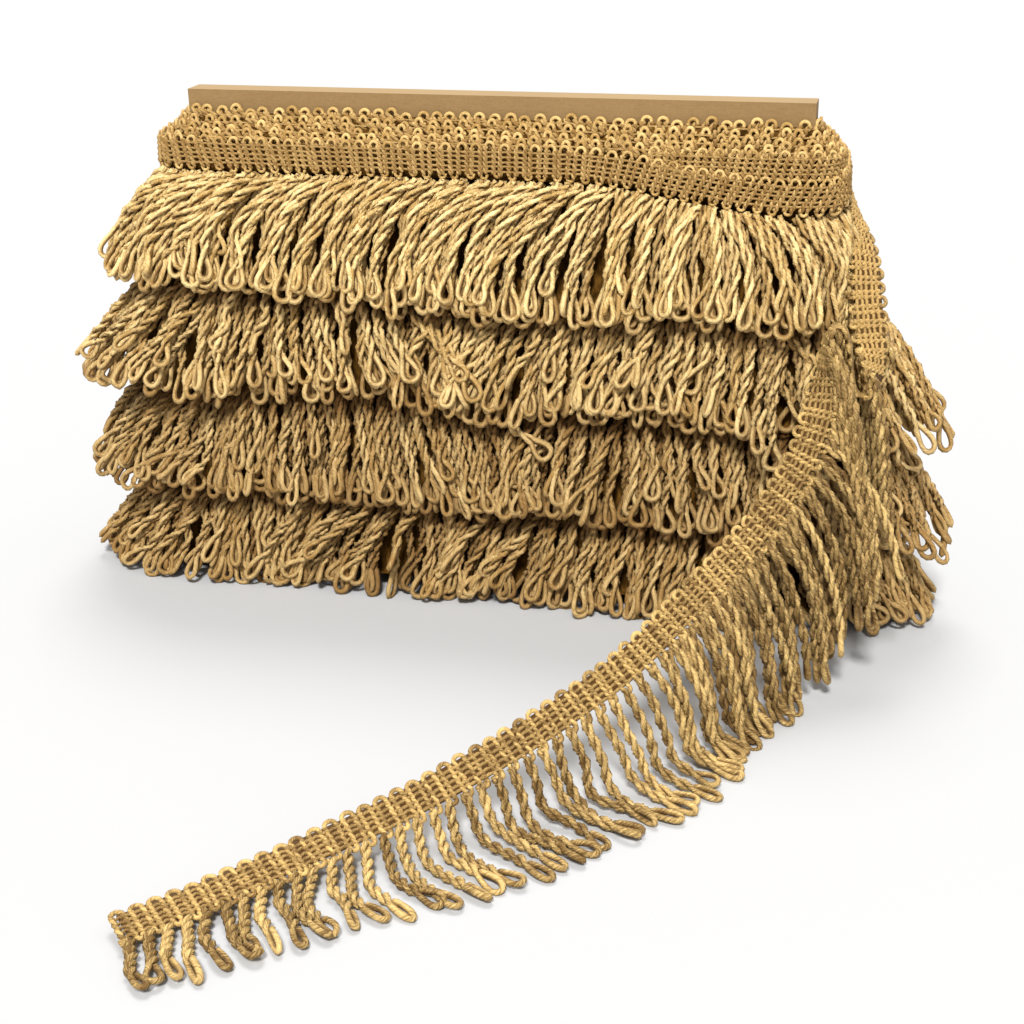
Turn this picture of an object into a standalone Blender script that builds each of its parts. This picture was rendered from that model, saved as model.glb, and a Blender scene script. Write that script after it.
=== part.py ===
# Looped cord fringe trim wound on a plain board, with its loose end running out over the floor.
# Units: the tables are in millimetres and are turned into metres where a mesh is made.
# Frame: the origin is the middle of the board's foot, X runs along the board, Z is up,
# and the loose end lies in front, towards -Y.

import math

import bmesh
import bpy
from mathutils import Vector

MM = 0.001

# The board that the trim is wound on.
BOARD_LENGTH = 315.0
BOARD_THICKNESS = 15.0
BOARD_HEIGHT = 257.7

# Space left between neighbouring pieces.
GAP = 0.3

# The trim: a woven heading with one looped cord of twisted yarn for each scallop.
HEADING_WIDTH = 16.0
HEADING_THICKNESS = 2.0
SCALLOP_PITCH = 7.0
SCALLOP_RISE = 0.9
CORD_LENGTH = 64.0
CORD_WIDTH = 4.2

# The wound plan is a straight run along the board with a round turn at each end.
HALF_SPINE = 150.0
SPINE_STEPS = 12
TURN_STEPS = 10
TURN_RADIUS = 35.0
INNER_CORNER_POWER = 30.0
OUTER_CORNER_POWER = 2.4

# The stacked headings at the top, from the board outwards.
# height, reach in front and behind, reach at the left end, reach at the right end
HEADING_STACK = [
    (248.0, 7.5 + GAP, 7.5 + GAP, 7.5 + GAP),
    (248.0, 10.6, 11.5, 11.0),
    (243.5, 13.0, 15.5, 14.5),
    (239.5, 16.0, 20.0, 18.5),
    (235.5, 18.3, 25.0, 22.5),
    (233.5, 19.5, 26.5, 24.0),
    (219.0, 19.5, 26.5, 24.0),
]

# The four skirts of fringe, top to bottom. Reaches are those of the wound body under the loose cords.
# The loose end presses the first skirt flat at the front of its right end.
# top, tip, root reach: front, left, right, tip reach: front, left, right front, right back
SKIRTS = [
    (217.0, 159.0, 20.0, 24.0, 21.5, 41.0, 55.0, 29.0, 45.0),
    (157.0, 107.0, 27.0, 38.0, 36.0, 41.0, 72.0, 66.0, 66.0),
    (105.0, 54.0, 27.0, 44.0, 44.0, 41.0, 75.0, 72.0, 72.0),
    (52.0, 0.0, 27.0, 48.0, 48.0, 41.0, 77.0, 75.0, 75.0),
]

# How far each skirt's tips rise above or fall below its mean tip, read along the front.
TIP_STATIONS = [-150.0, -100.0, -50.0, 0.0, 50.0, 100.0, 150.0]
TIP_LIFTS = [
    [8.0, 4.0, 0.0, -2.0, -2.0, 1.0, -1.0],
    [0.0, 3.0, 6.0, -4.0, 0.0, 1.0, -2.0],
    [-1.0, 1.0, 2.0, -4.0, 1.0, -2.0, -5.0],
    [0.0, 0.0, 0.0, 0.0, 0.0, 0.0, 0.0],
]

# How straight a skirt's side is: 1 is a straight line, 0 a full curve.
STRAIGHT_FLARE = 0.75

# Share of the way from root to tip at which the wound body and the loose cords have a ring.
BODY_RINGS = [0.0, 0.35, 0.8, 1.0]
LOCK_RINGS = [0.14, 0.5, 0.86, 1.0]

# Loose cords of a skirt, gathered into locks that hang from one narrow strip.
LOCKS_PER_SKIRT = 36
LOCK_WIDTH_SHARE = 0.66
LOCK_CLEARANCE = 2.3
LOCK_THICKNESS = 4.2
LOCK_TIP_SHRINK = 0.55
LOCK_RAGGEDNESS = 1.6
RAGGED_PER_LOCK = 2.4
RAGGED_PER_SKIRT = 1.7
STRIP_CLEARANCE = 1.5
STRIP_THICKNESS = 2.0
STRIP_DROP = 1.5
STRIP_LOW_SHARE = 0.084
LOCK_LEAN = 7.0
LEAN_WAVES = 3.0
LEAN_START = 0.1

# The first skirt is left bare where the loose end comes down over it.
# shares of the loop around the board, counted from the front left corner
BARE_FROM = 0.355
BARE_TO = 0.475

# The loose end: the middle line of its heading, and which way the cords leave it.
# x, y, z, side x, side y, side z
LOOSE_END = [
    (175.5, 3.0, 226.2, 0.0, 0.0, -1.0),
    (176.2, 10.5, 224.0, 0.0, -0.55, -0.8),
    (177.6, 15.5, 216.0, 0.0, -1.0, -0.1),
    (179.0, 13.0, 207.0, -0.2, -0.9, 0.5),
    (181.0, 3.0, 197.5, -0.6, -0.7, 0.4),
    (184.5, -10.0, 187.0, -0.85, -0.55, 0.1),
    (187.0, -22.0, 173.5, -1.0, -0.2, 0.0),
    (190.0, -34.0, 158.0, -1.0, -0.2, 0.0),
    (193.2, -43.5, 146.0, -0.7, -0.7, 0.1),
    (194.0, -50.0, 137.0, -0.2, -1.0, 0.2),
    (189.5, -54.0, 131.5, 0.0, -1.0, 0.2),
    (184.8, -55.0, 135.0, 0.0, -1.0, 0.2),
    (182.6, -55.5, 145.0, 0.0, -1.0, 0.2),
    (181.2, -56.0, 156.0, 0.0, -1.0, 0.2),
    (177.6, -57.0, 164.5, 0.0, -1.0, 0.2),
    (173.0, -58.5, 163.5, 0.1, -1.0, 0.1),
    (170.8, -60.5, 154.0, 0.3, -1.0, 0.0),
    (170.6, -64.0, 141.0, 0.7, -0.7, -0.2),
    (169.0, -73.0, 125.0, 0.8, -0.3, -0.5),
    (162.5, -88.0, 106.0, 0.75, 0.0, -0.65),
    (146.5, -112.0, 83.5, 0.75, 0.05, -0.65),
    (128.0, -142.0, 68.0, 0.75, 0.0, -0.65),
    (105.0, -180.0, 50.5, 0.75, -0.05, -0.65),
    (83.0, -206.0, 38.5, 0.75, -0.1, -0.6),
    (60.0, -230.0, 28.5, 0.75, -0.2, -0.55),
    (27.0, -262.0, 17.5, 0.75, -0.35, -0.45),
    (-7.0, -294.0, 10.0, 0.75, -0.5, -0.3),
    (-36.0, -324.0, 6.5, 0.7, -0.65, -0.2),
    (-61.0, -350.0, 5.2, 0.7, -0.7, -0.15),
]
HEADING_STEP = SCALLOP_PITCH / 2
ROW_STEPS = 12

# The loose end's cords start after the heading has turned away from the wound body.
FIRST_CORD = 23
CORD_ROOT_WIDTH = 3.0
CORD_STRIP_WIDTH = 1.6
CORD_RINGS = 5
CORD_FINE_STEPS = 4
CORD_BEND = 0.045
FLOOR_TRAIL = (0.25, -0.97, 0.0)
FLOOR_TRAIL_PULL = 0.12

# The last cords curl up on the floor and reach less far.
CURLED_CORDS = 26
CURLED_REACH = 29.0

# Colours and surface values of the materials.
# colour, roughness
FINISHES = {
    "kraft_board": ((0.55, 0.38, 0.20), 0.85),
    "gold_yarn": ((0.66, 0.46, 0.17), 0.5),
    "gold_fringe": ((0.70, 0.50, 0.19), 0.45),
}


def clear_scene():
    for item in list(bpy.data.objects):
        bpy.data.objects.remove(item, do_unlink=True)


def make_material(name, finish):
    colour, roughness = FINISHES[finish]
    material = bpy.data.materials.new(name + "_" + finish)
    material.use_nodes = True
    shader = material.node_tree.nodes["Principled BSDF"]
    shader.inputs["Base Color"].default_value = (*colour, 1.0)
    shader.inputs["Roughness"].default_value = roughness
    shader.inputs["Metallic"].default_value = 0.0
    return material


def finish_object(name, bm, finish):
    bmesh.ops.recalc_face_normals(bm, faces=bm.faces)
    mesh = bpy.data.meshes.new(name)
    bm.to_mesh(mesh)
    bm.free()
    mesh.materials.append(make_material(name, finish))
    item = bpy.data.objects.new(name, mesh)
    bpy.context.scene.collection.objects.link(item)
    return item


def point(x, y, z):
    return Vector((x * MM, y * MM, z * MM))


def mix(low, high, share):
    return low + (high - low) * share


def read_table(stations, values, place):
    if place <= stations[0]:
        return values[0]
    for left, right, low, high in zip(stations, stations[1:], values, values[1:]):
        if place <= right:
            return mix(low, high, (place - left) / (right - left))
    return values[-1]


# The loop around the board is walked by a share from 0 to 1 that starts at the front left corner.
# A place on it is where the spine is, and the cosine and sine of the direction outwards.
def loop_length():
    return 4.0 * HALF_SPINE + 2.0 * math.pi * TURN_RADIUS


def loop_place(share):
    run = 2.0 * HALF_SPINE
    turn = math.pi * TURN_RADIUS
    walked = (share % 1.0) * loop_length()
    if walked < run:
        return walked - HALF_SPINE, 0.0, -1.0
    walked -= run
    if walked < turn:
        angle = walked / TURN_RADIUS - math.pi / 2
        return HALF_SPINE, math.cos(angle), math.sin(angle)
    walked -= turn
    if walked < run:
        return HALF_SPINE - walked, 0.0, 1.0
    angle = (walked - run) / TURN_RADIUS + math.pi / 2
    return -HALF_SPINE, math.cos(angle), math.sin(angle)


def body_shares():
    run = 2.0 * HALF_SPINE / loop_length()
    turn = math.pi * TURN_RADIUS / loop_length()
    shares = []
    for start, length, steps in (
        (0.0, run, SPINE_STEPS),
        (run, turn, TURN_STEPS),
        (run + turn, run, SPINE_STEPS),
        (2.0 * run + turn, turn, TURN_STEPS),
    ):
        shares += [start + length * step / steps for step in range(steps)]
    return shares


def squared(value, power):
    return math.copysign(abs(value) ** (2.0 / power), value) if value else 0.0


def outline_point(place, reaches, height, power):
    spine, cosine, sine = place
    front, left, right = reaches
    end = right if cosine > 0.0 else left
    return point(spine + end * squared(cosine, power), front * squared(sine, power), height)


def tip_height(skirt, place):
    spine, cosine, sine = place
    lifts = TIP_LIFTS[skirt]
    front = read_table(TIP_STATIONS, lifts, spine)
    back = read_table(TIP_STATIONS, lifts[::-1], spine)
    return SKIRTS[skirt][1] + mix(front, back, (1.0 + sine) / 2.0)


# A skirt leaves its root steeply and flares more towards its tips.
def flare(share):
    return mix(share ** 2, share, STRAIGHT_FLARE)


def top_height(skirt, place):
    if skirt == 0:
        return SKIRTS[0][0]
    return tip_height(skirt - 1, place) - (SKIRTS[skirt - 1][1] - SKIRTS[skirt][0])


def skirt_reaches(skirt, share, place, extra=0.0):
    roots = SKIRTS[skirt][2:5]
    front, left, right_front, right_back = SKIRTS[skirt][5:9]
    tips = (front, left, mix(right_front, right_back, (1.0 + place[2]) / 2.0))
    return [mix(root, tip, flare(share)) + extra for root, tip in zip(roots, tips)]


def skirt_point(skirt, share, place, extra=0.0, lift=0.0):
    height = mix(top_height(skirt, place), tip_height(skirt, place), share)
    reaches = skirt_reaches(skirt, share, place, extra)
    return outline_point(place, reaches, height + lift, OUTER_CORNER_POWER)


def join_rings(bm, rings, closed=True):
    count = len(rings[0])
    pairs = list(zip(rings, rings[1:] + rings[:1])) if closed else list(zip(rings, rings[1:]))
    for ring, following in pairs:
        for index in range(count):
            after = (index + 1) % count
            bm.faces.new((ring[index], ring[after], following[after], following[index]))


def body_ring(bm, place):
    vertices = []
    bottom_inner = (0.0,) + HEADING_STACK[0][1:]
    for height, front, left, right in (bottom_inner, HEADING_STACK[0]):
        vertices.append(outline_point(place, (front, left, right), height, INNER_CORNER_POWER))
    for height, front, left, right in HEADING_STACK[1:]:
        vertices.append(outline_point(place, (front, left, right), height, OUTER_CORNER_POWER))
    for skirt in range(len(SKIRTS)):
        for share in BODY_RINGS:
            vertices.append(skirt_point(skirt, share, place))
    return [bm.verts.new(vertex) for vertex in vertices]


def build_wound_trim():
    bm = bmesh.new()
    rings = [body_ring(bm, loop_place(share)) for share in body_shares()]
    join_rings(bm, rings)
    return finish_object("wound_trim", bm, "gold_yarn")


def build_board():
    bm = bmesh.new()
    bmesh.ops.create_cube(bm, size=1.0)
    size = Vector((BOARD_LENGTH * MM, BOARD_THICKNESS * MM, BOARD_HEIGHT * MM))
    bmesh.ops.scale(bm, vec=size, verts=bm.verts)
    bmesh.ops.translate(bm, vec=(0.0, 0.0, size.z / 2), verts=bm.verts)
    return finish_object("board", bm, "kraft_board")


def is_bare(skirt, share):
    return skirt == 0 and BARE_FROM < share < BARE_TO


def lean_at(share):
    return LOCK_LEAN / loop_length() * math.sin(2.0 * math.pi * (LEAN_WAVES * share + LEAN_START))


def ragged(skirt, lock):
    return LOCK_RAGGEDNESS * math.sin(RAGGED_PER_LOCK * lock + RAGGED_PER_SKIRT * skirt)


# One lock: four-sided rings that widen with the skirt and end in a narrower tip.
def lock_rings(bm, skirt, lock, start, end):
    rings = []
    last = len(LOCK_RINGS) - 1
    rests = SKIRTS[skirt][1] <= 0.0
    for number, share in enumerate(LOCK_RINGS):
        shrink = 0.5 * (1.0 - LOCK_TIP_SHRINK) * (end - start) if number == last and not rests else 0.0
        lean = lean_at(start) * share
        low, high = start + shrink + lean, end - shrink + lean
        lift = 0.0 if rests else ragged(skirt, lock) * share
        inner, outer = LOCK_CLEARANCE, LOCK_CLEARANCE + LOCK_THICKNESS
        corners = [(low, inner), (low, outer), (high, outer), (high, inner)]
        ring = []
        for place_share, extra in corners:
            spot = skirt_point(skirt, share, loop_place(place_share), extra, lift)
            if rests and number == last:
                spot.z = 0.0
            ring.append(bm.verts.new(spot))
        rings.append(ring)
    return rings


def build_skirt(skirt):
    bm = bmesh.new()
    strip = []
    half = 0.5 * LOCK_WIDTH_SHARE / LOCKS_PER_SKIRT
    for lock in range(LOCKS_PER_SKIRT):
        middle = (lock + 0.5) / LOCKS_PER_SKIRT
        strip += [middle - half, middle + half]
    inner, outer = STRIP_CLEARANCE, STRIP_CLEARANCE + STRIP_THICKNESS
    rings = []
    for share in strip:
        place = loop_place(share)
        top_share = STRIP_DROP / (top_height(skirt, place) - tip_height(skirt, place))
        corners = [(top_share, inner), (top_share, outer), (STRIP_LOW_SHARE, outer), (STRIP_LOW_SHARE, inner)]
        rings.append([bm.verts.new(skirt_point(skirt, at, place, extra)) for at, extra in corners])
    for index, ring in enumerate(rings):
        following = rings[(index + 1) % len(rings)]
        for side in range(4):
            after = (side + 1) % 4
            underside = side == 2
            if underside and index % 2 == 0 and not is_bare(skirt, strip[index]):
                continue
            bm.faces.new((ring[side], ring[after], following[after], following[side]))
    for lock in range(LOCKS_PER_SKIRT):
        start, end = strip[2 * lock], strip[2 * lock + 1]
        if is_bare(skirt, start):
            continue
        left, right = rings[2 * lock], rings[2 * lock + 1]
        root = [left[3], left[2], right[2], right[3]]
        body = [root] + lock_rings(bm, skirt, lock, start, end)
        join_rings(bm, body, closed=False)
        bm.faces.new(body[-1])
    return finish_object("fringe_tier_%d" % (skirt + 1), bm, "gold_fringe")


# A smooth line through the table's rows, read every HEADING_STEP along its length.
def smooth_rows(rows):
    ends = [rows[0]] + rows + [rows[-1]]
    line = []
    for before, start, end, after in zip(ends, ends[1:], ends[2:], ends[3:]):
        for step in range(ROW_STEPS):
            t = step / ROW_STEPS
            line.append([
                0.5 * (2 * b + (c - a) * t + (2 * a - 5 * b + 4 * c - d) * t ** 2
                       + (3 * b - 3 * c + d - a) * t ** 3)
                for a, b, c, d in zip(before, start, end, after)
            ])
    line.append(list(rows[-1]))
    return line


def even_steps(line, step):
    spots = [Vector(row[:3]) for row in line]
    walked = [0.0]
    for here, there in zip(spots, spots[1:]):
        walked.append(walked[-1] + (there - here).length)
    count = int(walked[-1] // step)
    rows = []
    index = 0
    for number in range(count + 1):
        target = walked[-1] * number / count
        while index < len(line) - 2 and walked[index + 1] < target:
            index += 1
        share = (target - walked[index]) / (walked[index + 1] - walked[index])
        rows.append([mix(a, b, share) for a, b in zip(line[index], line[index + 1])])
    return rows


# Frames along the loose end: middle, direction along it, direction of its cords, face direction.
def heading_frames():
    rows = even_steps(smooth_rows(LOOSE_END), HEADING_STEP)
    frames = []
    for index, row in enumerate(rows):
        before = Vector(rows[max(index - 1, 0)][:3])
        after = Vector(rows[min(index + 1, len(rows) - 1)][:3])
        along = (after - before).normalized()
        side = Vector(row[3:])
        side = (side - along * side.dot(along)).normalized()
        frames.append((Vector(row[:3]), along, side, along.cross(side)))
    return frames


def build_tail_heading(frames):
    bm = bmesh.new()
    half_width = HEADING_WIDTH / 2
    half_thickness = HEADING_THICKNESS / 2
    rings = []
    for index, (middle, along, side, face) in enumerate(frames):
        crest = half_width + (SCALLOP_RISE if index % 2 else 0.0)
        corners = [(-crest, -1), (-crest, 1), (half_width, 1), (half_width, -1)]
        rings.append([
            bm.verts.new((middle + side * across + face * (half_thickness * way)) * MM)
            for across, way in corners
        ])
    join_rings(bm, rings, closed=False)
    bm.faces.new(rings[0])
    bm.faces.new(rings[-1])
    return finish_object("tail_heading", bm, "gold_yarn")


# A cord bends under its own weight, and runs on along the floor once it gets there.
def hang_cord(start, direction, length):
    step = length / (CORD_RINGS * CORD_FINE_STEPS)
    floor = CORD_WIDTH / 2
    trail = Vector(FLOOR_TRAIL)
    spot, heading = start.copy(), direction.copy()
    path = []
    for number in range(CORD_RINGS * CORD_FINE_STEPS):
        heading = (heading + Vector((0.0, 0.0, -CORD_BEND * step))).normalized()
        spot = spot + heading * step
        if spot.z < floor:
            spot.z = floor
            flat = Vector((heading.x, heading.y, 0.0)) + trail * FLOOR_TRAIL_PULL
            heading = flat.normalized()
        if number % CORD_FINE_STEPS == CORD_FINE_STEPS - 1:
            path.append((spot.copy(), heading.copy()))
    return path


def cord_ring(bm, spot, heading, along):
    side = (along - heading * along.dot(heading)).normalized()
    if spot.z <= CORD_WIDTH / 2:
        side = Vector((side.x, side.y, 0.0)).normalized()
    up = side.cross(heading).normalized()
    half = CORD_WIDTH / 2
    corners = [(-1, -1), (-1, 1), (1, 1), (1, -1)]
    return [bm.verts.new((spot + side * (half * a) + up * (half * b)) * MM) for a, b in corners]


def build_tail_fringe(frames):
    bm = bmesh.new()
    near = HEADING_WIDTH / 2 + GAP
    far = near + CORD_STRIP_WIDTH
    half_root = CORD_ROOT_WIDTH / 2
    half_thickness = HEADING_THICKNESS / 2
    cord_frames = frames[2 * FIRST_CORD::2]
    rings = []
    for middle, along, side, face in cord_frames:
        for shift in (-half_root, half_root):
            corners = [(near, -1), (near, 1), (far, 1), (far, -1)]
            rings.append([
                bm.verts.new((middle + along * shift + side * across + face * (half_thickness * way)) * MM)
                for across, way in corners
            ])
    for index, (ring, following) in enumerate(zip(rings, rings[1:])):
        for side_index in range(4):
            after = (side_index + 1) % 4
            if side_index == 2 and index % 2 == 0:
                continue
            bm.faces.new((ring[side_index], ring[after], following[after], following[side_index]))
    bm.faces.new(rings[0])
    bm.faces.new(rings[-1])
    for number, (middle, along, side, face) in enumerate(cord_frames):
        left, right = rings[2 * number], rings[2 * number + 1]
        start = middle + side * far
        body = [[left[3], left[2], right[2], right[3]]]
        from_tip = len(cord_frames) - 1 - number
        reach = mix(CURLED_REACH, CORD_LENGTH, min(1.0, from_tip / CURLED_CORDS))
        for spot, heading in hang_cord(start, side, reach - CORD_STRIP_WIDTH):
            body.append(cord_ring(bm, spot, heading, along))
        join_rings(bm, body, closed=False)
        bm.faces.new(body[-1])
    return finish_object("tail_fringe", bm, "gold_fringe")


def main():
    clear_scene()
    build_board()
    build_wound_trim()
    for skirt in range(len(SKIRTS)):
        build_skirt(skirt)
    frames = heading_frames()
    build_tail_heading(frames)
    build_tail_fringe(frames)


main()
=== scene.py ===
import math

import bpy
import numpy as np
from mathutils import Matrix


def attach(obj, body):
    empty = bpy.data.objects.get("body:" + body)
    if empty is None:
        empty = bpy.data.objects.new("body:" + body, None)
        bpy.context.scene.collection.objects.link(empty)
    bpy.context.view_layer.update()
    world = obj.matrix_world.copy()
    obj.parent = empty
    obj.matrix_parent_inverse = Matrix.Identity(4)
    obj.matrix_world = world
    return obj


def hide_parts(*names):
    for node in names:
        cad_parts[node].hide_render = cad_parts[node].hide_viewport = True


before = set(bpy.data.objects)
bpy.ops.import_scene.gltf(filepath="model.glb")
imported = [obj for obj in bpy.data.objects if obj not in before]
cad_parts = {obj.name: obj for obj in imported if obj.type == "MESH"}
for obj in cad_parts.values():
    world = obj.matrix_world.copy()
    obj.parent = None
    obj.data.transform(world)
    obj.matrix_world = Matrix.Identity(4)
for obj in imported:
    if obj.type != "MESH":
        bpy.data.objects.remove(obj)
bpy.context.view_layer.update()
# one millimetre, and how far above the floor every cord and yarn stays, in mm
mm = 0.001
floorGap = 0.15
dice = np.random.default_rng(41)
print("frame loaded:", len(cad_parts), "solids")

# camera first, at the photograph's place, in metres and degrees
cameraSetup = {
    "place": (0.2112, -0.8212, 0.3877),
    "azimuth": 14.0,
    "pitch": 22.56,
    "roll": -0.91,
    "lens": 59.77,
}


def addCamera(setup):
    azimuth, pitch, roll = (math.radians(setup[key]) for key in ("azimuth", "pitch", "roll"))
    level = np.array([math.cos(azimuth), math.sin(azimuth), 0.0])
    away = np.array([math.sin(azimuth), -math.cos(azimuth), 0.0])
    back = away * math.cos(pitch) + np.array([0.0, 0.0, math.sin(pitch)])
    upright = np.cross(back, level)
    right = math.cos(roll) * level + math.sin(roll) * upright
    up = math.cos(roll) * upright - math.sin(roll) * level
    data = bpy.data.cameras.new("photoCamera")
    data.lens = setup["lens"]
    data.sensor_width = 36.0
    item = bpy.data.objects.new("photoCamera", data)
    bpy.context.scene.collection.objects.link(item)
    rows = [[float(right[i]), float(up[i]), float(back[i]), setup["place"][i]] for i in range(3)]
    item.matrix_world = Matrix(rows + [[0.0, 0.0, 0.0, 1.0]])
    bpy.context.scene.camera = item


addCamera(cameraSetup)


# small helpers for arrays of vectors, all in millimetres
def unit(vectors):
    return vectors / np.maximum(np.linalg.norm(vectors, axis=-1, keepdims=True), 1e-9)


def dot(a, b):
    return (a * b).sum(axis=-1, keepdims=True)


def blendTo(low, high, share):
    return low + (high - low) * share


# length walked along a line at each of its points
def lengthAlong(points):
    steps = np.linalg.norm(np.diff(points, axis=-2), axis=-1)
    return np.concatenate([np.zeros((*steps.shape[:-1], 1)), np.cumsum(steps, axis=-1)], axis=-1)


# tubes along many centre lines at once; outward says where the first corner of each ring points
def makeTubes(centres, outward, radius, sides, tone):
    tangent = unit(np.gradient(centres, axis=1))
    first = unit(outward - tangent * dot(outward, tangent))
    second = np.cross(tangent, first)
    radius = np.broadcast_to(radius, centres.shape[:2])
    angles = 2.0 * np.pi * np.arange(sides) / sides
    circle = np.cos(angles)[:, None] * first[:, :, None] + np.sin(angles)[:, None] * second[:, :, None]
    rings = centres[:, :, None] + radius[:, :, None, None] * circle
    turned = np.zeros(rings.shape)
    turned[..., 0] = np.cos(angles)
    turned[..., 1] = np.sin(angles)
    turned[..., 2] = lengthAlong(centres)[:, :, None]
    tones = np.broadcast_to(np.asarray(tone)[:, :, None, :], rings.shape)
    return rings, turned, tones


def addObject(name, data):
    item = bpy.data.objects.new(name, data)
    bpy.context.scene.collection.objects.link(item)
    return item


# one mesh from batches of tubes, each closed at both ends
def meshOfTubes(name, batches, material, lowest=None):
    points, turns, tones, corners, sizes = [], [], [], [], []
    start = 0
    for rings, turned, tone in batches:
        count, steps, sides = rings.shape[:3]
        index = start + np.arange(count * steps * sides).reshape(count, steps, sides)
        after = np.roll(index, -1, axis=2)
        quads = np.stack([index[:, :-1], after[:, :-1], after[:, 1:], index[:, 1:]], axis=-1)
        corners += [quads.reshape(-1), index[:, 0, ::-1].reshape(-1), index[:, -1].reshape(-1)]
        sizes += [np.full(quads.size // 4, 4), np.full(count * 2, sides)]
        points.append(rings.reshape(-1, 3))
        turns.append(turned.reshape(-1, 3))
        tones.append(tone.reshape(-1, 3))
        start += count * steps * sides
    points, corners, sizes = np.concatenate(points), np.concatenate(corners), np.concatenate(sizes)
    if lowest is not None:
        points[:, 2] = np.maximum(points[:, 2], lowest)
    mesh = bpy.data.meshes.new(name)
    mesh.vertices.add(len(points))
    mesh.vertices.foreach_set("co", (points * mm).astype(np.float32).ravel())
    mesh.loops.add(len(corners))
    mesh.loops.foreach_set("vertex_index", corners.astype(np.int32))
    mesh.polygons.add(len(sizes))
    mesh.polygons.foreach_set("loop_start", np.concatenate([[0], np.cumsum(sizes)[:-1]]).astype(np.int32))
    mesh.polygons.foreach_set("use_smooth", np.ones(len(sizes), dtype=bool))
    for label, values in (("yarnTurn", turns), ("yarnToneAndShade", tones)):
        layer = mesh.attributes.new(label, "FLOAT_VECTOR", "POINT")
        layer.data.foreach_set("vector", np.concatenate(values).astype(np.float32).ravel())
    mesh.update()
    mesh.validate()
    mesh.materials.append(material)
    mesh.calc_loop_triangles()
    print(name, "has", len(mesh.loop_triangles), "triangles")
    return addObject(name, mesh)


# shader helpers
def addNode(tree, kind, settings=None, **inputs):
    node = tree.nodes.new(kind)
    for key, value in (settings or {}).items():
        setattr(node, key, value)
    for key, value in inputs.items():
        socket = node.inputs[int(key[1:])] if key[0] == "_" else node.inputs[key.replace("_", " ")]
        if isinstance(value, bpy.types.NodeSocket):
            tree.links.new(value, socket)
        else:
            socket.default_value = value
    return node


def maths(tree, operation, first, second=0.0, third=0.0):
    node = addNode(tree, "ShaderNodeMath", {"operation": operation}, _0=first, _1=second, _2=third)
    return node.outputs[0]


def mixColour(tree, share, first, second, way="MIX"):
    settings = {"data_type": "RGBA", "blend_type": way}
    return addNode(tree, "ShaderNodeMix", settings, _0=share, _6=first, _7=second).outputs[2]


def noiseAt(tree, vector, scale, detail, roughness=0.5):
    node = addNode(tree, "ShaderNodeTexNoise", Vector=vector, Scale=scale, Detail=detail, Roughness=roughness)
    return node.outputs[0]


def stretchRange(tree, value, low, high, toLow=0.0, toHigh=1.0, settings=None):
    node = addNode(tree, "ShaderNodeMapRange", settings, Value=value, _1=low, _2=high, _3=toLow, _4=toHigh)
    return node.outputs[0]


def newMaterial(name, roughness, specular):
    material = bpy.data.materials.new(name)
    material.use_nodes = True
    shader = material.node_tree.nodes["Principled BSDF"]
    shader.inputs["Roughness"].default_value = roughness
    shader.inputs["Specular IOR Level"].default_value = specular
    return material, material.node_tree, shader


def addBump(tree, shader, height, strength, distance):
    bump = addNode(tree, "ShaderNodeBump", Strength=strength, Distance=distance, Height=height)
    tree.links.new(bump.outputs[0], shader.inputs["Normal"])


yarnLook = {
    # size of the noise for the strands round a ply, for the fibres and for the slow change along the yarn
    "strandScale": 1.9,
    "fibreScale": 5.5,
    "slowScale": 0.11,
    # what each adds to the light tone, and the tone at which the deep and the light gold are reached
    "ridgeLight": 0.42,
    "fibreLight": 0.5,
    "slowLight": 0.9,
    "ownLight": 0.36,
    "ownDark": 0.14,
    "deepAt": 0.12,
    "lightAt": 0.92,
    # painted shade in the groove between two plies
    "grooveShade": 0.56,
    # roughness of lit yarn, and what the fibres and the painted shade add
    "roughness": 0.33,
    "fibreRough": 0.3,
    "darkRough": 0.45,
    "specular": 0.28,
    "sheenTint": (1.0, 0.86, 0.6, 1.0),
}
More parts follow.
